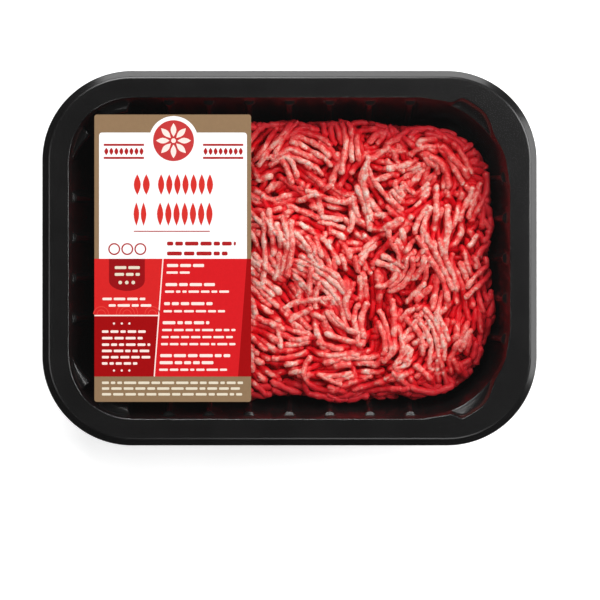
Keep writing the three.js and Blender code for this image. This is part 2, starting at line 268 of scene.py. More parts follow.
tray = {
    "length": 190, "width": 144, "height": 40, "radius": 34.5, "sheet": 0.55,
    "ribCounts": (7, 5, 7, 4), "ribPitch": 15.5, "ribDepth": 1.6,  # front, right, back and left wall
    "ledgeDepth": 4.8, "mouth": 10.3, "ledgeRound": 0.5,
    "scoopDepth": 3.4, "fillDepth": 4.3, "fillReach": 37.4,
    "fillSharpness": 1.15, "taperSharpness": 0.9,
    "carved": (2.7, 9.5),  # insets between which the flange takes on the fill
    "wallStart": 10, "wallEnd": 24,  # insets between which the walls lie
    "thinned": 0.4,  # how much lower the sheet is under ledges and scoops
}
cornerTurns = {  # degrees round a corner where each starts and ends
    "scoop": (2, 15, 34, 68), "longLedge": (9, 13.5, 38.5, 44.5), "shortLedge": (10, 13), "taper": (17, 49),
}
trayProfile = [  # inset from the rim, height, fillet radius
    (0.0, 37.0, 0), (0.12, 38.35, 0.5), (2.8, 39.98, 2.2), (10.45, 40.0, 0.6), (11.35, 36.4, 0),
    (18.4, 6.4, 3.2), (24.5, 0.8, 5), (30.0, 0.8, 1.2), (31.2, 1.8, 0.8), (34.0, 1.8, 0),
]
byHeight = {  # heights, and how much there is of a feature at each
    "fill": ((0.8, 2.5, 6, 20, 36), (0, 0.4, 0.6, 0.85, 1)),
    "scoop": ((36.15, 36.35, 36.6, 36.8), (0, 0.12, 0.9, 1)),
    "rib": ((2.4, 6.5, 12, 34.6, 35.15, 35.5, 36.45, 36.7, 40),
            (0, 0.85, 1, 1, 0.97, 0.88, 0.12, 0.03, 0.03)),
    "ledge": ((35, 35.5, 35.9, 36.15, 36.3, 36.42, 36.62, 36.8), (1, 0.97, 0.9, 0.82, 0.75, 0.67, 0.06, 0)),
    "thinned": ((34.2, 35.9, 37.1, 37.6), (0, 1, 1, 0)),
}
ribShapes = {  # places off a rib's middle, and its height there
    "body": ((0, 0.6, 1.1, 1.7, 3.3, 3.7), (1, 0.96, 0.8, 0.42, 0.05, 0)),
    "dome": ((0, 0.8, 1.5, 2.1, 2.7), (1, 0.97, 0.84, 0.42, 0)),
    "domeStart": 34.2, "domeFull": 35.6,  # heights between which a rib widens into its dome
}
trayMesh = {  # how fine the mesh is, in mm
    "alongRib": 0.4, "besideRib": 4.4, "clearOfRibs": 5, "arcSteps": 7, "longest": 3.2, "underStep": 0.45,
    "filletShare": 0.48,  # of a stretch that a fillet may take up
    "nearTop": (33, 38, 0.7), "atDomes": (34.9, 37.1, 0.17),  # from and to a height, longest step
    "cornerSteps": (40, 40, 75, 75), "elsewhere": 99,  # a turn or offset for stations that have none
}


def filletArc(before, corner, radius, after):  # points round one corner of the profile
    back, ahead = np.array(before) - corner, np.array(after) - corner
    backLength, aheadLength = np.linalg.norm(back), np.linalg.norm(ahead)
    back, ahead = back / backLength, ahead / aheadLength
    half = math.acos(np.clip(back @ ahead, -1, 1)) / 2
    reach = min(radius / math.tan(half), trayMesh["filletShare"] * min(backLength, aheadLength))
    middle = corner + (back + ahead) / np.linalg.norm(back + ahead) * reach / math.cos(half)
    first, last = back * reach + corner - middle, ahead * reach + corner - middle
    sweep = math.acos(np.clip(first @ last / (reach * math.tan(half)) ** 2, -1, 1))
    angles = np.linspace(0, 1, trayMesh["arcSteps"] + 1) * sweep
    return [middle + (first * math.sin(sweep - angle) + last * math.sin(angle)) / math.sin(sweep)
            for angle in angles]


def longestStep(z):  # the longest profile step that the mesh takes here
    for bottom, top, step in (trayMesh["atDomes"], trayMesh["nearTop"]):
        if bottom < z < top:
            return step
    return trayMesh["longest"]


def filletedProfile(corners):  # the profile with its corners rounded, close-set
    places = [np.array(corner[:2], dtype=float) for corner in corners]
    rounded = [places[0]]
    for before, place, (_, _, radius), after in zip(places, places[1:], corners[1:], places[2:]):
        rounded += filletArc(before, place, radius, after) if radius else [place]
    rounded.append(places[-1])
    dense = [rounded[0]]
    for point in rounded[1:]:
        while np.linalg.norm(point - dense[-1]) > 0.01:
            gap = point - dense[-1]
            dense.append(dense[-1] + gap * min(1, longestStep(dense[-1][1]) / np.linalg.norm(gap)))
    return np.array(dense)


def traySides():  # front, right, back and left
    sides, start = [], 0.0
    for index in range(4):
        turn = index * math.pi / 2
        across = (tray["length"] if index % 2 else tray["width"]) / 2
        half = (tray["width"] if index % 2 else tray["length"]) / 2 - tray["radius"]
        sides.append({"dir": (math.cos(turn), math.sin(turn)), "normal": (math.sin(turn), -math.cos(turn)),
                      "across": across, "half": half, "start": start, "index": index})
        start += 2 * half + tray["radius"] * math.pi / 2
    return sides, start


def ribCentres(index):
    count = tray["ribCounts"][index]
    return (np.arange(count) - (count - 1) / 2) * tray["ribPitch"]


def stationsAlong(side):  # the places along one straight side
    clear, radius = trayMesh["clearOfRibs"], tray["radius"]
    (dx, dy), (nx, ny), half, across = side["dir"], side["normal"], side["half"], side["across"]
    near = np.arange(trayMesh["alongRib"], trayMesh["besideRib"], trayMesh["alongRib"])
    centres = ribCentres(side["index"])
    places = [centre + np.concatenate([-near[::-1], [0], near]) for centre in centres]
    places += [(centres[:-1] + centres[1:]) / 2]
    places += [np.linspace(-half, centres[0] - clear, 5)[:-1], np.linspace(centres[-1] + clear, half, 5)[1:]]
    for along in sorted(set(np.round(np.concatenate(places), 3))):
        offset = along - centres[np.argmin(np.abs(along - centres))]
        yield (dx * along + nx * across, dy * along + ny * across, nx, ny,
               side["start"] + half + along, offset, trayMesh["elsewhere"], side["index"])
    steps = trayMesh["cornerSteps"][side["index"]]
    for turn in np.linspace(0, 90, steps + 1)[1:-1]:  # and round the corner after it
        c, s = math.cos(math.radians(turn)), math.sin(math.radians(turn))
        cx, cy = nx * c + dx * s, ny * c + dy * s
        yield (dx * half + nx * (across - radius) + cx * radius,
               dy * half + ny * (across - radius) + cy * radius, cx, cy,
               side["start"] + 2 * half + radius * math.radians(turn),
               trayMesh["elsewhere"], turn, side["index"])


def trayStations():  # places round the rim, with what is there
    sides, perimeter = traySides()
    rows = np.array([station for side in sides for station in stationsAlong(side)])
    names = ("x", "y", "outX", "outY", "round", "offset", "turn", "side")
    return dict(zip(names, rows.T)), sides, perimeter


def trayFeatures(stations, sides, perimeter):  # the share of each feature at each station
    turn, corner = stations["turn"], stations["side"]
    inCorner = turn < 90
    fill = np.zeros(len(turn))
    for side in sides[:2]:
        middle = side["start"] + 2 * side["half"] + tray["radius"] * math.pi / 4
        apart = np.abs(stations["round"] - middle)
        apart = np.clip(np.minimum(apart, perimeter - apart) / tray["fillReach"], 0, 1)
        fill = np.maximum(fill, np.maximum(np.cos(apart * math.pi / 2), 0) ** tray["fillSharpness"])
    start, full, fading, gone = cornerTurns["scoop"]
    fromLong = np.where(corner == 0, turn, 90 - turn)
    scoop = smoothStep(start, full, fromLong) * (1 - smoothStep(fading, gone, fromLong))
    scoop = scoop * (inCorner & (corner < 2))
    start, full, fading, gone = cornerTurns["longLedge"]
    fromShort = np.where(corner == 3, turn, 90 - turn)
    offMiddle = np.abs(fromShort - 45)
    byLong = smoothStep(start, full, offMiddle) * (1 - smoothStep(fading, gone, offMiddle)) * (fromShort > 45)
    near, far = cornerTurns["taper"]
    taper = np.clip((far - offMiddle) / (far - near), 0, 1) ** tray["taperSharpness"]
    byShort = smoothStep(*cornerTurns["shortLedge"], offMiddle) * taper * (fromShort <= 45)
    ledge = (byLong + byShort) * (inCorner & (corner > 1))
    return fill, scoop, ledge


def shareAt(name, z):
    return np.interp(z, *byHeight[name])


def upperInset(inset, z, isWall, offset, features):  # how far in from the rim the upper face lies
    fill, scoop, ledge = features
    if not isWall:
        carved = smoothStep(*tray["carved"], inset)
        return inset + tray["fillDepth"] * carved * fill - tray["scoopDepth"] * carved ** 3 * scoop
    if inset > tray["wallEnd"]:
        return np.full(len(fill), inset)
    body, dome = np.interp(offset, *ribShapes["body"]), np.interp(offset, *ribShapes["dome"])
    hump = body + (dome - body) * smoothStep(ribShapes["domeStart"], ribShapes["domeFull"], z)
    wall = inset + tray["ribDepth"] * shareAt("rib", z) * hump
    ledgeShare, soft = shareAt("ledge", z), tray["ledgeRound"]
    ledged = tray["mouth"] + tray["ledgeDepth"] * ledgeShare * ledge + soft * ledgeShare
    reach = ledged - wall
    wall = wall + np.where(ledge > 0, (reach + np.sqrt(reach ** 2 + soft ** 2)) / 2, 0)
    wall = wall + tray["fillDepth"] * shareAt("fill", z) * fill
    return wall - tray["scoopDepth"] * shareAt("scoop", z) * scoop


def spacedOut(profile, apart):  # the indexes of points at least this far apart
    kept = [0]
    for index in range(1, len(profile)):
        if np.linalg.norm(profile[index] - profile[kept[-1]]) > apart or index == len(profile) - 1:
            kept.append(index)
    return kept


def traySheet():
    stations, sides, perimeter = trayStations()
    features = trayFeatures(stations, sides, perimeter)
    offset = np.abs(stations["offset"])
    profile = filletedProfile(trayProfile)
    tangent = np.gradient(profile, axis=0)
    tangent /= np.linalg.norm(tangent, axis=1)[:, None]
    across = np.stack([tangent[:, 1], -tangent[:, 0]], axis=-1)  # towards the underside
    upper, under = [], []
    for (inset, z), (pushIn, pushDown) in zip(profile, across):
        isWall = z < tray["height"] - 0.02 and inset > tray["wallStart"]
        place = upperInset(inset, z, isWall, offset, features)
        upper.append((place, np.full(len(offset), z)))
        hollowed = np.maximum(features[2], features[1]) * shareAt("thinned", z) * isWall
        lowered = z + pushDown * tray["sheet"] - tray["thinned"] * hollowed
        under.append((place + pushIn * tray["sheet"], lowered))
    rings = [under[index] for index in reversed(spacedOut(profile, trayMesh["underStep"]))] + upper
    points = [np.stack([stations["x"] - stations["outX"] * inset,
                        stations["y"] - stations["outY"] * inset, z], axis=-1) for inset, z in rings]
    points += [[(0, 0, rings[0][1][0])], [(0, 0, rings[-1][1][0])]]
    return np.concatenate(points), closedRings(len(rings), len(offset))


def trayPlastic():
    material, shader, place = newMaterial("tray plastic", {
        "Base Color": (0.006, 0.0057, 0.0057), "Roughness": 0.2, "IOR": 1.5})
    cloud = place.noise(14, 3)
    pitting = place.noise(0.35, 2)
    plug(shader, "Base Color", cloud.ease(0.3, 0.7).blend((0.0053, 0.0051, 0.0051), (0.0067, 0.0064, 0.0064)))
    plug(shader, "Roughness", 0.18 + 0.06 * cloud + 0.04 * pitting)
    plug(shader, "Normal", (pitting * 0.2 + cloud).bump(0.2, 0.12))
    return material


trayPoints, trayFaces = traySheet()
trayPiece = makePiece("formed_tray", trayPoints, trayFaces, trayPlastic())
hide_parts("tray")
print("tray:", len(trayPiece.data.polygons), "faces")


# Mince: a core with well over a thousand pressed strands laid on it, one over another

heap = {
    "length": 155.4, "width": 111.4, "radius": 31, "x": 2.8, "y": -0.9, "top": 29.6, "seed": 11,
    "layer": 7.5, "shoulder": 10, "shoulderDrop": 5.0,
    "lobes": ((7, 0.8, 0.6), (12, 0.7, 2.2), (19, 0.5, 0)), "lobeInset": 1.1,  # their count, size and phase
    "clump": 0.9, "clumpWaves": (43, 71, 39, 77),  # lengths of a wave and of what bends it, in x and y
    "wallPoint": (34.8, 11.9), "wallLean": 0.241, "wallGap": 0.25,  # a place on the wall: height and inset
    "cell": 0.5, "margin": 4, "startDepth": 1.0, "settle": 1.3,  # of the height field
    "grainSpread": 40, "grainFade": -1.6,  # how softly one place of the grain gives way to the next
    "shadeDepth": 3.8, "edgeShade": 0.3, "edgeReach": 11,  # of the shade in gaps and at the edge
}
strands = {
    "radius": (1.12, 1.5), "length": (9, 27), "step": 1.0, "spacing": 2.55, "slip": 3, "most": 1400,
    "bundles": 2100, "perBundle": (2, 6), "perEdgeBundle": (2, 4), "edgeDepth": 6, "startDepth": 1.2,
    "lengthShare": (0.65, 1.25), "spacingShare": (0.95, 1.1), "sway": 0.05,
    "centreDepth": 40, "toneSpread": 0.17,  # how far in strands get paler, and how much tones stray
    "turn": 0.4, "stray": 0.3, "strayTurn": (0.6, 1.4), "curls": 0.06, "curlTurn": (0.07, 0.17),
    "wobble": 0.45, "wobbleLength": (2.5, 5), "bow": 0.3, "bowLength": 9, "easing": 1.2,
    "edgeGap": 0.1, "edgeSpread": 0.9,
    "sink": 0.22, "proud": (-0.6, 1.7), "overProud": 0.25, "mostBuried": 0.55,
    "footprint": (-0.75, -0.35, 0, 0.35, 0.75),  # where across itself a strand rests, in radii
    "tries": 60, "hollowEnough": 0.3, "wearReach": 2, "wear": 0.35,
    "sides": 8, "squash": 0.93, "taper": 0.9, "tipSize": 0.12, "tipReach": 0.15,
    # each lump's size, its length and its turns round the strand
    "lumps": ((0.1, 0.62, 1), (0.1, 1.1, 0), (0.08, 0.8, 2), (0.05, math.inf, 3), (0.07, 2.1, -1)),
}
grain = [  # places and the way strands lie there, in degrees
    (-7, 45, 50), (8, 38, -25), (21, 36, -75), (4, 13, -35), (15, 3, -60), (8, -12, -80), (-6, -5, -60),
    (23, -12, -85), (42, 49, 35), (58, 49, -30), (69, 38, -65), (40, 33, 5), (54, 26, 60), (73, 18, 70),
    (33, 20, 10), (42, 3, 85), (50, -16, 75), (63, -16, 55), (73, -27, 65), (33, -27, 90), (15, -33, -15),
    (4, -41, -15), (23, -43, 10), (-7, -35, -65), (58, -39, 30), (38, -49, 0), (69, -45, 45), (-45, 25, 30),
    (-45, -25, -40), (-66, 0, 85), (-30, 45, 0), (-30, -50, 0),
]
rng = np.random.default_rng(heap["seed"])


def depthInside(x, y, length, width, radius):  # how far inside a rounded rectangle a place is
    cx = np.abs(x) - (length / 2 - radius)
    cy = np.abs(y) - (width / 2 - radius)
    return radius - np.hypot(np.maximum(cx, 0), np.maximum(cy, 0)) - np.minimum(np.maximum(cx, cy), 0)


def rimInset(x, y):  # how far inside the tray's rim a place is
    return depthInside(x, y, tray["length"], tray["width"], tray["radius"])


def heapDepth(x, y):  # how far inside the heap's uneven outline a place is
    bearing = np.arctan2((y - heap["y"]) * heap["length"] / heap["width"], x - heap["x"])
    lobes = sum(size * np.sin(count * bearing + phase) for count, size, phase in heap["lobes"])
    depth = depthInside(x - heap["x"], y - heap["y"], heap["length"], heap["width"], heap["radius"])
    return depth - (lobes + heap["lobeInset"])


def nearEdge(points):  # 1 at the heap's edge, 0 well inside it
    return 1 - smoothStep(0, heap["edgeReach"], heapDepth(points[:, 0], points[:, 1]))


def heapTarget(x, y):  # the height that the strands are piled to
    size, (alongX, bentByY, alongY, bentByX) = heap["clump"], heap["clumpWaves"]
    clumps = size * wave(x, alongX, wave(y, bentByY)) + size * wave(y, alongY, 1 + wave(x, bentByX))
    share = np.clip(heapDepth(x, y) / heap["shoulder"], 0, 1)
    return heap["top"] + clumps - heap["shoulderDrop"] * (1 - np.sqrt(1 - (1 - share) ** 2))


def wallHeight(x, y, radius):  # the lowest for a strand's middle, clear of the wall
    z, inset = heap["wallPoint"]
    return z - (rimInset(x, y) - inset - radius - heap["wallGap"]) / heap["wallLean"]


def grainField(x, y):  # the way strands lie, smoothed between the places above
    east, north = np.zeros_like(x), np.zeros_like(x)
    for gx, gy, angle in grain:
        weight = ((x - gx) ** 2 + (y - gy) ** 2 + heap["grainSpread"]) ** heap["grainFade"]
        east += weight * math.cos(2 * math.radians(angle))
        north += weight * math.sin(2 * math.radians(angle))
    return np.arctan2(north, east) / 2


class HeightField:  # the heap's surface as it is built up
    def __init__(self):
        self.cell, margin = heap["cell"], heap["margin"]
        self.x0 = heap["x"] - heap["length"] / 2 - margin
        self.y0 = heap["y"] - heap["width"] / 2 - margin
        columns, rows = (int((heap[side] + 2 * margin) / self.cell) for side in ("length", "width"))
        self.gx, self.gy = np.meshgrid(self.x0 + np.arange(columns) * self.cell,
                                       self.y0 + np.arange(rows) * self.cell)
        self.target = heapTarget(self.gx, self.gy)
        self.inside = heapDepth(self.gx, self.gy) > heap["startDepth"]
        self.heading = grainField(self.gx, self.gy)
        onWall = wallHeight(self.gx, self.gy, strands["radius"][1]) - heap["settle"]
        self.height = np.maximum(self.target - heap["layer"], onWall)
        self.spent = np.zeros_like(self.height)

    def index(self, x, y):  # the cells of some places
        row = np.clip(((y - self.y0) / self.cell + 0.5).astype(int), 0, self.gx.shape[0] - 1)
        column = np.clip(((x - self.x0) / self.cell + 0.5).astype(int), 0, self.gx.shape[1] - 1)
        return row, column

    def cellAt(self, x, y):  # the cell of one place
        row = min(max(int((y - self.y0) / self.cell + 0.5), 0), self.gx.shape[0] - 1)
        column = min(max(int((x - self.x0) / self.cell + 0.5), 0), self.gx.shape[1] - 1)
        return row, column

    def patch(self, row, column, reach):  # the cells within a reach in mm
        cells = int(reach / self.cell)
        return slice(max(row - cells, 0), row + cells + 1), slice(max(column - cells, 0), column + cells + 1)

    def follow(self, x, y, turn, curl, count, sign):  # points along the grain, turned by an angle
        points, last = [], None
        for step in range(count):
            heading = self.heading[self.cellAt(x, y)] + turn
            if curl and last is not None:
                heading = last + sign * curl * strands["step"]
            if last is not None and math.cos(heading - last) < 0:
                heading += math.pi
            last = heading
            x += sign * math.cos(heading) * strands["step"]
            y += sign * math.sin(heading) * strands["step"]
            points.append((x, y))
        return points

    def stamp(self, path, radius):  # raise the surface to a strand's upper side
        for x, y, z in path:
            near = self.patch(*self.cellAt(x, y), radius + self.cell)
            apart = (self.gx[near] - x) ** 2 + (self.gy[near] - y) ** 2
            crown = np.where(apart > radius ** 2, 0, z + np.sqrt(np.maximum(radius ** 2 - apart, 0)))
            self.height[near] = np.maximum(self.height[near], crown)

    def hollow(self):  # a place that still lies well below its target
        rows = rng.integers(0, self.gx.shape[0], strands["tries"])
        columns = rng.integers(0, self.gx.shape[1], strands["tries"])
        tried = rows, columns
        missing = self.target[tried] - self.height[tried] - self.spent[tried]
        missing = np.where(self.inside[tried], missing, -np.inf)
        best = int(np.argmax(missing))
        return rows[best], columns[best], missing[best]

    def wear(self, row, column):  # places that were tried count as less hollow
        self.spent[self.patch(row, column, strands["wearReach"])] += strands["wear"]


def keepInside(x, y, margin):  # points outside the heap's edge slide back to it
    step = 0.05
    for _ in range(3):
        depth = heapDepth(x, y)
        slopeX = (heapDepth(x + step, y) - depth) / step
        slopeY = (heapDepth(x, y + step) - depth) / step
        push = np.maximum(margin - depth, 0)
        x, y = x + slopeX * push, y + slopeY * push
    return x, y


def eased(values, width):  # smoothed along a strand, width in steps
    reach = int(2 * width)
    kernel = np.exp(-(np.arange(-reach, reach + 1) / width) ** 2)
    return np.convolve(np.pad(values, reach, mode="edge"), kernel / kernel.sum(), mode="valid")


def strandPath(x, y, turn, curl, length, radius, proud, field):  # its middle line, None if there's no room
    step = strands["step"]
    half = max(3, int(length / step / 2))
    behind, ahead = (field.follow(x, y, turn, curl, half, sign) for sign in (-1, 1))
    points = behind[::-1] + [(x, y)] + ahead
    px, py = np.array(points).T
    along = np.arange(len(px)) * step
    tx, ty = np.gradient(px), np.gradient(py)
    wobble = strands["wobble"] * np.sin(along / rng.uniform(*strands["wobbleLength"]) + rng.uniform(0, 6))
    wobble += rng.normal(0, strands["bow"]) * np.sin(along / strands["bowLength"])
    px, py = px - ty * wobble, py + tx * wobble
    px, py = keepInside(px, py, radius + strands["edgeGap"] + rng.uniform(0, strands["edgeSpread"]))
    px, py = eased(px, strands["easing"]), eased(py, strands["easing"])
    crowded = (np.hypot(np.diff(px), np.diff(py)) < 0.3 * step).sum()
    if crowded > 3:
        return None
    tx, ty = np.gradient(px), np.gradient(py)
    size = np.hypot(tx, ty) + 1e-9
    heights = []
    for share in strands["footprint"]:
        side = share * radius
        drop = radius - math.sqrt(radius ** 2 - side ** 2)
        heights.append(field.height[field.index(px - ty / size * side, py + tx / size * side)] - drop)
    support = 0.6 * np.max(heights, axis=0) + 0.4 * np.mean(heights, axis=0)
    z = 0.7 * eased(support, 3.0) + 0.3 * eased(support, 1.0) + radius * (1 - strands["sink"])
    ceiling = heapTarget(px, py) + proud - radius
    z = np.where(z > ceiling, ceiling + (z - ceiling) * strands["overProud"], z)
    z = np.maximum(z, wallHeight(px, py, radius))
    buried = field.height[field.index(px, py)] > z + radius * 0.75
    return None if buried.mean() > strands["mostBuried"] else np.stack([px, py, z], axis=-1)


def layBundle(field, row, column, laid):  # a few strands side by side
    x, y = field.gx[row, column], field.gy[row, column]
    turn = rng.normal(0, strands["turn"])
    if rng.uniform() < strands["stray"]:
        turn += rng.choice([-1, 1]) * rng.uniform(*strands["strayTurn"])
    heading = field.heading[row, column] + turn
    depth = heapDepth(x, y)
    count = int(rng.integers(*strands["perBundle" if depth > strands["edgeDepth"] else "perEdgeBundle"]))
    tone = rng.uniform(0, 1)
    proud = rng.uniform(*strands["proud"])
    curl = rng.choice([-1, 1]) * rng.uniform(*strands["curlTurn"]) if rng.uniform() < strands["curls"] else 0
    fullLength = rng.uniform(*strands["length"])
    centred = np.clip(depth / strands["centreDepth"], 0, 1)
    for index in range(count):
        offset = (index - (count - 1) / 2) * strands["spacing"] * rng.uniform(*strands["spacingShare"])
        slip = rng.normal(0, strands["slip"])
        sx = x - math.sin(heading) * offset + math.cos(heading) * slip
        sy = y + math.cos(heading) * offset + math.sin(heading) * slip
        if heapDepth(sx, sy) < strands["startDepth"]:
            continue
        length = max(strands["length"][0], fullLength * rng.uniform(*strands["lengthShare"]))
        radius = rng.uniform(*strands["radius"])
        ownTurn = turn + rng.normal(0, strands["sway"])
        path = strandPath(sx, sy, ownTurn, curl, length, radius, proud, field)
        if path is None:
            continue
        field.stamp(path, radius)
        own = 0.6 * tone + 0.4 * centred + rng.normal(0, strands["toneSpread"])
        laid.append({"path": path, "radius": radius, "tone": float(np.clip(own, 0, 0.999))})


def layStrands():
    field = HeightField()
    laid = []
    for _ in range(strands["bundles"]):
        row, column, missing = field.hollow()
        if missing < strands["hollowEnough"] or len(laid) >= strands["most"]:
            break
        field.wear(row, column)
        layBundle(field, row, column, laid)
    return laid, field


def strandMesh(path, radius):  # a lumpy tube with rounded, torn ends
    tangent = np.gradient(path, axis=0)
    tangent /= np.linalg.norm(tangent, axis=1)[:, None] + 1e-9
    side = np.cross(tangent, (0, 0, 1))
    side /= np.linalg.norm(side, axis=1)[:, None] + 1e-9
    up = np.cross(side, tangent)
    along = np.arange(len(path))[:, None] * strands["step"]
    angle = np.arange(strands["sides"])[None, :] / strands["sides"] * 2 * math.pi
    phases = rng.uniform(0, 2 * math.pi, 6)  # one for each lump, and one to spare
    lump = sum(size * np.sin(along / length + phase + turns * angle)
               for (size, length, turns), phase in zip(strands["lumps"], phases))
    fromEnd = np.minimum(along, along[-1] - along)
    shortOfFull = 1 - np.clip(fromEnd / (strands["taper"] * radius), 0, 1)
    size = radius * (1 + lump) * np.sqrt(np.clip(1 - shortOfFull ** 2, strands["tipSize"], 1))
    across = np.cos(angle)[..., None] * side[:, None, :]
    across = across + strands["squash"] * np.sin(angle)[..., None] * up[:, None, :]
    points = path[:, None, :] + size[..., None] * across
    tips = np.stack([path[0] - tangent[0] * radius * strands["tipReach"],
                     path[-1] + tangent[-1] * radius * strands["tipReach"]])
    return np.concatenate([points.reshape(-1, 3), tips])


def widest(height, reach):  # the highest place within reach cells
    out = height.copy()
    for axis in (0, 1):
        source = out.copy()
        for shift in range(-reach, reach + 1):
            out = np.maximum(out, np.roll(source, shift, axis=axis))
    return out


def joinStrands(chosen, skyline, field):  # one mesh of them, with what their colours go by
    points, quads, ends, tones, start = [], [], [], [], 0
    for strand in chosen:
        made = strandMesh(strand["path"], strand["radius"])
        tube, firstEnd, lastEnd = closedRings(len(strand["path"]), strands["sides"])
        quads.append(tube + start)
        ends += [firstEnd + start, lastEnd + start]
        points.append(made)
        tones.append(np.full(len(made), strand["tone"]))
        start += len(made)
    points = np.concatenate(points)
    edge = nearEdge(points)
    # painted shade: sunk grows with depth below the highest strand nearby and towards the heap's edge, so the
    # material paints gaps and flanks darker and crests paler
    below = skyline[field.index(points[:, 0], points[:, 1])] - points[:, 2]
    sunk = np.clip(below / heap["shadeDepth"] + heap["edgeShade"] * edge, 0, 1)
    looks = {"tone": np.concatenate(tones), "sunk": sunk, "edge": edge}
    return points, [np.concatenate(quads), np.concatenate(ends)], looks


# the darkest red is painted shade in the gaps and on the core under the strands; the edge red is painted
# shade at the heap's edge
meatColours = {
    "gapShade": (0.75, 0.001, 0.008), "lean": (0.82, 0.019, 0.027), "edge": (0.50, 0.022, 0.032),
    "pink": (0.96, 0.15, 0.13), "pale": (1.0, 0.48, 0.40), "fat": (1.0, 0.80, 0.71),
}
meatRanges = {"pink": (0.64, 1.08), "pale": (0.94, 1.3), "fat": (0.98, 1.16), "gapShade": (-0.1, 0.7)}
meatSpots = {"blotch": (3.0, 3, 0.6, 0.6), "speck": (1.25, 4, 0.6, 0.3), "fine": (0.5, 3, 0.6)}


def meat(name, fatness, baseShade):  # raw mince: lean, marbled or fatty, with painted shade in gaps, on the core and at the heap's edge, and crests painted paler
    material, shader, place = newMaterial(name, {
        "Roughness": 0.34, "IOR": 1.4, "Specular IOR Level": 0.2, "Subsurface Weight": 0.25,
        "Subsurface Radius": (1.0, 0.2, 0.14), "Subsurface Scale": 0.0012, "Coat Roughness": 0.15})
    tone, sunk, edge = place.attribute("tone"), place.attribute("sunk"), place.attribute("edge")
    blotch, speck, fine = (place.noise(*spot) for spot in meatSpots.values())
    # marbling and fat flecks, both held back in gaps as painted shade, so that crests show paler as painted
    # light; shade is painted shade in gaps and on the core, broken up by the blotches
    marbleAndShade = blotch * 0.95 + speck * 0.9 + fine * 0.3 + tone * 0.2 + fatness * 0.04 - sunk * 1.05
    fleckAndShade = speck * 1.0 + blotch * 0.5 + fine * 0.2 + fatness * 0.05 + tone * 0.1 - sunk * 0.5
    shade = sunk * 1.9 + baseShade - blotch * 0.4 - speck * 0.3
    colour = meatColours["lean"]
    for spread, tint in ((marbleAndShade, "pink"), (marbleAndShade, "pale"), (fleckAndShade, "fat"), (shade, "gapShade")):
        colour = spread.ease(*meatRanges[tint]).blend(colour, meatColours[tint])
    # painted shade: darker red towards the heap's edge
    colour = (edge * 0.7).blend(colour, meatColours["edge"])
    plug(shader, "Base Color", colour)
    plug(shader, "Roughness", 0.26 + 0.3 * blotch)
    plug(shader, "Coat Weight", speck.ease(0.45, 0.65) * 0.35)
    plug(shader, "Normal", (blotch * 0.6 + speck + fine * 0.4).bump(0.6, 0.4))
    return material


coreShape = {  # levels as inset from the heap's outline, and height
    "levels": ((9, 2.1), (6.2, 3.4), (5.2, 5), (4.2, 8), (3.5, 12), (3.2, 16), (3.0, 19), (3.3, 21),
               (4.5, 22)),
    "topInset": 5.5, "topRings": 24, "lowestTop": 22, "cornerSteps": 60, "longest": 1.2,
    "sideLump": 0.45, "topLump": 0.35, "lumpyFrom": 2.5, "topFrom": 21, "tone": 0.3, "sunk": 0.5,
}


def divided(ring, longest):  # a closed line with its long stretches split up
    points = []
    for start, end in zip(ring, np.roll(ring, -1, axis=0)):
        pieces = max(1, round(np.linalg.norm(end - start) / longest))
        points += [start + (end - start) * step / pieces for step in range(pieces)]
    return np.array(points)


def heapCore():  # the mince under the strands
    outline = roundedRing(heap["length"], heap["width"], heap["radius"], coreShape["cornerSteps"])
    outline = divided(outline, coreShape["longest"])
    size = np.array([heap["length"], heap["width"]]) / 2
    middle = np.array([heap["x"], heap["y"]])
    rings = []
    for inset, z in coreShape["levels"]:
        rings.append(lifted(outline * (size - inset) / size + middle, z))
    top = outline * (size - coreShape["topInset"]) / size
    for share in np.linspace(0, 1, coreShape["topRings"] + 2)[1:-1]:
        shrunk = top * (1 - share) + middle
        z = np.maximum(heapTarget(shrunk[:, 0], shrunk[:, 1]) - heap["layer"], coreShape["lowestTop"])
        rings.append(lifted(shrunk, z))
    points = np.concatenate(rings)
    x, y, z = points.T
    lump = wave(x, 4.1, wave(y, 6.3)) * wave(y, 3.7, wave(z, 5.1)) + wave(z + x * 0.4, 3.3) * 0.8
    inward = middle - points[:, :2]
    inward /= np.linalg.norm(inward, axis=1)[:, None] + 1e-9
    points[:, :2] += inward * (coreShape["sideLump"] * lump * (z > coreShape["lumpyFrom"]))[:, None]
    points[:, 2] += coreShape["topLump"] * lump * (z > coreShape["topFrom"])
    ends = [(*middle, coreShape["levels"][0][1]), (*middle, heap["top"] - heap["layer"])]
    return np.concatenate([points, ends]), closedRings(len(rings), len(outline))


corePoints, coreFaces = heapCore()
# the core lies under the strands, and is painted in shade throughout
core = makePiece("mince_core", corePoints, coreFaces, meat("core meat", 0.0, 0.25))
setAttributes(core, {"tone": np.full(len(corePoints), coreShape["tone"]),
                     "sunk": np.full(len(corePoints), coreShape["sunk"]), "edge": nearEdge(corePoints)})
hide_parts("mince")
laidStrands, surface = layStrands()
skyline = widest(surface.height, 3)
strandKinds = [("lean_strands", 0.0, 0.38), ("marbled_strands", 0.5, 0.6), ("fatty_strands", 1.0, 1.0)]
lowest = 0.0
for kindName, fatness, highest in strandKinds:  # each kind's fatness, and the tone up to which it goes
    chosen = [strand for strand in laidStrands if lowest <= strand["tone"] < highest]
    lowest = highest
    kindPoints, kindFaces, looks = joinStrands(chosen, skyline, surface)
    kindMeat = meat(kindName.replace("_", " "), fatness, 0.0)
    kind = makePiece(kindName, kindPoints, kindFaces, kindMeat)
    setAttributes(kind, looks)
    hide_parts("mince")
    print(kindName + ":", len(chosen), "strands,", len(kind.data.polygons), "faces")


# Film: clear, sealed on the flange

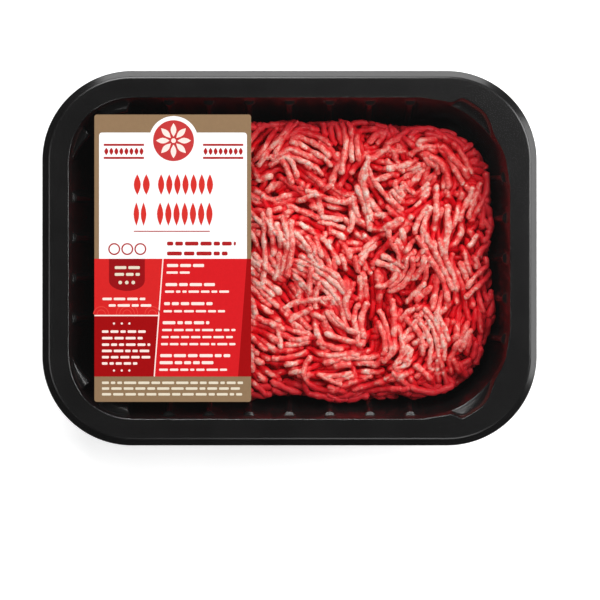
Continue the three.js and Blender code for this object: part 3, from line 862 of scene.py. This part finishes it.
film = {
    "inset": 3.2, "bottom": 40.0, "thickness": 0.25, "alpha": 0.06, "colour": (0.02, 0.02, 0.02),
    "cornerSteps": 32,
    # its section, as insets from its edge and heights
    "section": ((0, 0), (0, 0.18), (0.08, 0.25), (4, 0.25), (4.3, 0.22), (6.4, 0.22), (6.7, 0.25)),
}


def filmSheet():
    rings = []
    for inset, z in film["section"]:
        total = film["inset"] + inset
        ring = roundedRing(tray["length"] - 2 * total, tray["width"] - 2 * total, tray["radius"] - total,
                           film["cornerSteps"])
        rings.append(lifted(ring, film["bottom"] + z))
    ends = [(0, 0, film["bottom"]), (0, 0, film["bottom"] + film["thickness"])]
    return np.concatenate([*rings, ends]), closedRings(len(rings), len(rings[0]))


def clearFilm():
    material, shader, place = newMaterial("clear film", {
        "Base Color": film["colour"], "Roughness": 0.06, "Alpha": film["alpha"], "IOR": 1.5})
    creases = place.stretch((1, 2.2, 1)).noise(22, 2)
    plug(shader, "Roughness", 0.04 + 0.05 * creases)
    plug(shader, "Normal", creases.bump(0.3, 0.5))
    return material


filmPoints, filmFaces = filmSheet()
filmPiece = makePiece("clear_film", filmPoints, filmFaces, clearFilm(), smooth=False)
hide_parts("lidding_film")
print("film")


# Label: a paper plate with each ink as thin raised fields. Places run right and down from its top left.

label = {
    "width": 60, "height": 110, "x": -44.7, "y": 0, "bottom": 40.25, "paper": 0.1, "radius": 1, "ink": 0.02,
    "mottle": 0.02, "cornerSteps": 6,
}
inkColours = {
    "tan": (0.255, 0.162, 0.088), "white": (0.92, 0.915, 0.91), "red": (0.60, 0.028, 0.022),
    "orange": (0.61, 0.016, 0.016), "bright": (0.605, 0.010, 0.014), "dark": (0.32, 0.002, 0.003),
    "shield": (0.28, 0.004, 0.006), "pale": (0.93, 0.72, 0.66), "cream": (0.72, 0.64, 0.5),
    "figure": (0.38, 0.012, 0.014), "glow": (0.70, 0.05, 0.04), "disc": (0.50, 0.037, 0.038),
}
panel = {  # the white panel, whose top edge bulges round the disc
    "left": 1.8, "right": 58.4, "top": 6.9, "bottom": 55.2, "corner": 1.15,
    "disc": (30.3, 10.0), "discRadius": 7.85, "bulge": 9.4, "petals": 8, "petal": (4.1, 2.2, 5.2), "eye": 0.9,
    "bands": ((3.6, 19.0), (41.6, 57.0)), "bandRules": ((11.2, 12.0), (16.2, 17.0)),
    "bandOvals": (12.7, 15.5, 1.9), "rule": (15.1, 44.5, 44.2, 44.9),
    # the bold rows: ends of their two groups, top, bottom and pitch
    "boldRows": ((((14.7, 21.6), (24.0, 45.8)), 22.8, 30.8, 3.1),
                 (((14.7, 20.2), (23.6, 45.6)), 33.6, 42.6, 3.3)),
    "rings": (7.6, 12.6, 17.6), "ringLine": 51.5, "ringRadii": (2.3, 1.75),
}
redPanels = {  # the red panels below it, parted by a slanting edge
    "bottom": 100.3, "split": 76.7, "splitEnd": 77.2, "farEdge": 55.0,
    "slant": (26.2, 24.6, 24.5, 22.8),  # the edge's place at the top, the split and the bottom
    "shield": (5.6, 19.3, 63.6, 3.9), "waves": (2.6, 12.5, 22.2), "waveLine": 76.4, "waveWidth": 0.32,
    "smallPrint": ((83.1, 20.4), (85.6, 19.8), (88.1, 21.4), (90.5, 22.0), (92.9, 21.4), (95.3, 16.8)),
    "headings": ((57.8, 42), (65.1, 47), (72.4, 46), (79.7, 44), (92.3, 52), (95.0, 47)),
    "lines": ((60.5, 38), (67.8, 53), (75.3, 50), (82.5, 54), (85.2, 53), (87.9, 54), (97.7, 51)),
}
footLines = ((102.7, 56.9), (104.9, 56.2), (107.1, 56.9))  # how far down, and where each one ends
words = {"length": (1.6, 4.6), "atHeight": 0.9, "gap": 0.75, "shortest": 0.8, "rounding": 0.3}
inkFields = {name: [] for name in inkColours}


def printField(ink, outline, layer):
    inkFields[ink].append((np.array(outline, dtype=float), layer))


def rectangle(u0, v0, u1, v1, radius=0.0, steps=4):
    if radius <= 0:
        return [(u0, v0), (u1, v0), (u1, v1), (u0, v1)]
    ring = roundedRing(u1 - u0, v1 - v0, radius, steps)
    return ring + ((u0 + u1) / 2, (v0 + v1) / 2)


def arc(u, v, across, down, start, end, steps):  # from one angle to another, in half turns
    turns = np.linspace(start, end, steps + 1) * math.pi
    return [(u + across * math.cos(t), v + down * math.sin(t)) for t in turns]


def disc(u, v, radius, steps=48):
    return arc(u, v, radius, radius, 0, 2, steps)[:-1]


def pointedOval(u, v, width, height, steps=6):  # a slender leaf shape, upright
    shares = np.linspace(0, 1, steps + 1)
    side = [(width / 2 * math.sin(math.pi * share), height * (share - 0.5)) for share in shares]
    return [(u + a, v + b) for a, b in side] + [(u - a, v + b) for a, b in side[-2:0:-1]]


def wordBars(ink, u0, u1, v, height, layer, seed):  # one line of small print as plain bars
    draw = np.random.default_rng(seed)
    u = u0
    while u < u1 - words["shortest"]:
        width = min(draw.uniform(*words["length"]) * (height / words["atHeight"]) ** 0.5, u1 - u)
        bar = rectangle(u, v - height / 2, u + width, v + height / 2, height * words["rounding"], 2)
        printField(ink, bar, layer)
        u += width + words["gap"]


def ovalRow(ink, groups, top, bottom, pitch, layer):  # a bold row of pointed ovals
    for u0, u1 in groups:
        count = max(1, round((u1 - u0) / pitch))
        step = (u1 - u0) / count
        for index in range(count):
            outline = pointedOval(u0 + (index + 0.5) * step, (top + bottom) / 2, step * 0.78, bottom - top)
            printField(ink, outline, layer)


def rosette(u, v):
    printField("disc", disc(u, v, panel["discRadius"]), 2)
    petal = np.array(pointedOval(0, *panel["petal"]))
    for index in range(panel["petals"]):
        turn = index * 2 * math.pi / panel["petals"]
        turned = np.stack([petal[:, 0] * math.cos(turn) - petal[:, 1] * math.sin(turn),
                           petal[:, 0] * math.sin(turn) + petal[:, 1] * math.cos(turn)], axis=-1)
        printField("pale", turned + (u, v), 3)
    printField("pale", disc(u, v, panel["eye"], 20), 3)


def labelHead():  # the white panel and what is printed on it
    left, right, top, bottom = (panel[side] for side in ("left", "right", "top", "bottom"))
    (u, v), corner, bulge = panel["disc"], panel["corner"], panel["bulge"]
    reach = math.asin((v - top) / bulge) / math.pi
    outline = arc(left + corner, top + corner, corner, corner, 1, 1.5, 4)
    outline += arc(u, v, bulge, bulge, 1 + reach, 2 - reach, 24)
    outline += arc(right - corner, top + corner, corner, corner, 1.5, 2, 4)
    printField("white", outline + [(right, bottom), (left, bottom)], 1)
    rosette(u, v)
    for u0, u1 in panel["bands"]:  # plain bands either side of the disc
        for v0, v1 in panel["bandRules"]:
            printField("figure", rectangle(u0, v0, u1, v1), 2)
    ovalRow("figure", panel["bands"], *panel["bandOvals"], 2)
    for boldRow in panel["boldRows"]:
        ovalRow("red", *boldRow, 2)
    printField("figure", rectangle(*panel["rule"]), 2)
    outer, inner = panel["ringRadii"]
    for ringPlace in panel["rings"]:
        printField("figure", disc(ringPlace, panel["ringLine"], outer, 32), 2)
        printField("white", disc(ringPlace, panel["ringLine"], inner, 32), 3)
    wordBars("figure", 27.8, 54.2, 49.4, 1.5, 2, 3)
    wordBars("figure", 27.8, 51.0, 53.2, 1.5, 2, 4)


def softWaves():  # arcs over the split, on the orange panel
    v, halfWidth = redPanels["waveLine"], redPanels["waveWidth"] / 2
    for row in range(3):
        for centre in redPanels["waves"]:
            radius = 1.6 + row * 1.25
            if radius < 2.9 or centre == redPanels["waves"][1]:
                outer, inner = radius + halfWidth, radius - halfWidth
                outline = arc(centre, v, outer, outer, 1, 2, 14) + arc(centre, v, inner, inner, 2, 1, 14)
                printField("glow", outline, 2)


def labelBody():  # the red panels and what is printed on them
    top, bottom, right, farEdge = panel["bottom"], redPanels["bottom"], panel["right"], redPanels["farEdge"]
    split, splitEnd = redPanels["split"], redPanels["splitEnd"]
    atTop, atSplit, atSplitEnd, atBottom = redPanels["slant"]
    printField("bright", [(atTop, top), (right, top), (farEdge, bottom), (atBottom, bottom)], 1)
    printField("dark", [(right, top), (label["width"], top), (label["width"], bottom), (farEdge, bottom)], 1)
    printField("orange", [(0, top), (atTop, top), (atSplit, split), (0, split)], 1)
    printField("dark", [(0, splitEnd), (atSplitEnd, splitEnd), (atBottom, bottom), (0, bottom)], 1)
    printField("pale", [(0, split), (atSplit, split), (atSplitEnd, splitEnd), (0, splitEnd)], 1)
    printField("pale", [(26.05, top), (26.5, top), (23.15, bottom), (22.7, bottom)], 2)
    shieldLeft, shieldRight, shieldFoot, shieldCurve = redPanels["shield"]
    shieldMiddle, shieldHalf = (shieldLeft + shieldRight) / 2, (shieldRight - shieldLeft) / 2
    curve = arc(shieldMiddle, shieldFoot, shieldHalf, shieldCurve, 0, 1, 16)
    printField("shield", [(shieldRight, top)] + curve + [(shieldLeft, top)], 2)
    wordBars("cream", 7.8, 17.4, 58.6, 1.1, 3, 5)
    wordBars("cream", 7.8, 17.4, 61.2, 1.1, 3, 6)
    for u in (9.9, 12.4, 14.9):
        printField("cream", disc(u, 64.3, 0.7, 16), 3)
    softWaves()
    wordBars("pale", 3.1, 19.5, 70.6, 0.95, 3, 7)
    wordBars("pale", 5.5, 22.0, 73.1, 0.95, 3, 8)
    for v in (80.0, 98.0):
        for u in (7.5, 10.5, 13.4):
            printField("pale", disc(u, v, 0.42, 14), 2)
    for index, (v, end) in enumerate(redPanels["smallPrint"]):
        wordBars("pale", 2.9, end, v, 0.95, 2, 20 + index)
    lines = [(v, end, 1.15) for v, end in redPanels["headings"]]
    lines += [(v, end, 0.85) for v, end in redPanels["lines"]]
    for index, (v, end, height) in enumerate(sorted(lines)):  # each starts along the slanting edge
        start = 28.0 - (v - top) * (atTop - atBottom) / (bottom - top)
        wordBars("pale", start, end, v, height, 2, 40 + index)


def labelFoot():  # the lines of print below the red panels
    for index, (v, end) in enumerate(footLines):
        wordBars("cream", 2.9, end, v, 0.95, 1, 60 + index)


def inkMaterial(name, colour):
    material, shader, place = newMaterial(name, {
        "Base Color": colour, "Roughness": 0.55, "IOR": 1.45, "Specular IOR Level": 0.07})
    mottle = place.noise(1.2, 3)
    darker = tuple(part * (1 - label["mottle"]) for part in colour)
    lighter = tuple(min(1, part * (1 + label["mottle"])) for part in colour)
    plug(shader, "Base Color", mottle.ease(0.3, 0.7).blend(darker, lighter))
    plug(shader, "Roughness", 0.5 + 0.12 * mottle)
    plug(shader, "Normal", place.noise(0.25, 2).bump(0.08, 0.03))
    return material


def prisms(fields):  # each outline as a closed slab, a step up for each layer
    points, faces, start = [], [], 0
    bottom = label["bottom"] + label["paper"]
    for outline, layer in fields:
        flat = np.stack([label["x"] - label["width"] / 2 + outline[:, 0],
                         label["y"] + label["height"] / 2 - outline[:, 1]], axis=-1)
        area = (flat[:, 0] * np.roll(flat[:, 1], -1) - np.roll(flat[:, 0], -1) * flat[:, 1]).sum()
        flat = flat if area > 0 else flat[::-1]
        points += [lifted(flat, bottom), lifted(flat, bottom + label["ink"] * layer)]
        around = len(flat)
        cap = np.arange(around)[None, :] + start
        faces += [cap[:, ::-1], cap + around, tubeFaces(2, around) + start]
        start += 2 * around
    return np.concatenate(points), faces


def labelPlate():
    x, y, bottom, top = label["x"], label["y"], label["bottom"], label["bottom"] + label["paper"]
    ring = roundedRing(label["width"], label["height"], label["radius"], label["cornerSteps"]) + (x, y)
    ends = [(x, y, bottom), (x, y, top)]
    return np.concatenate([lifted(ring, bottom), lifted(ring, top), ends]), closedRings(2, len(ring))


platePoints, plateFaces = labelPlate()
plate = makePiece("label_sheet", platePoints, plateFaces, inkMaterial("label paper", inkColours["tan"]),
                  smooth=False)
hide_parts("label")
labelHead()
labelBody()
labelFoot()
for inkName, fields in inkFields.items():
    if fields:
        inkPoints, inkFaces = prisms(fields)
        makePiece("ink_" + inkName, inkPoints, inkFaces, inkMaterial("ink " + inkName, inkColours[inkName]),
                  smooth=False)
print("label:", sum(len(fields) for fields in inkFields.values()), "printed fields")
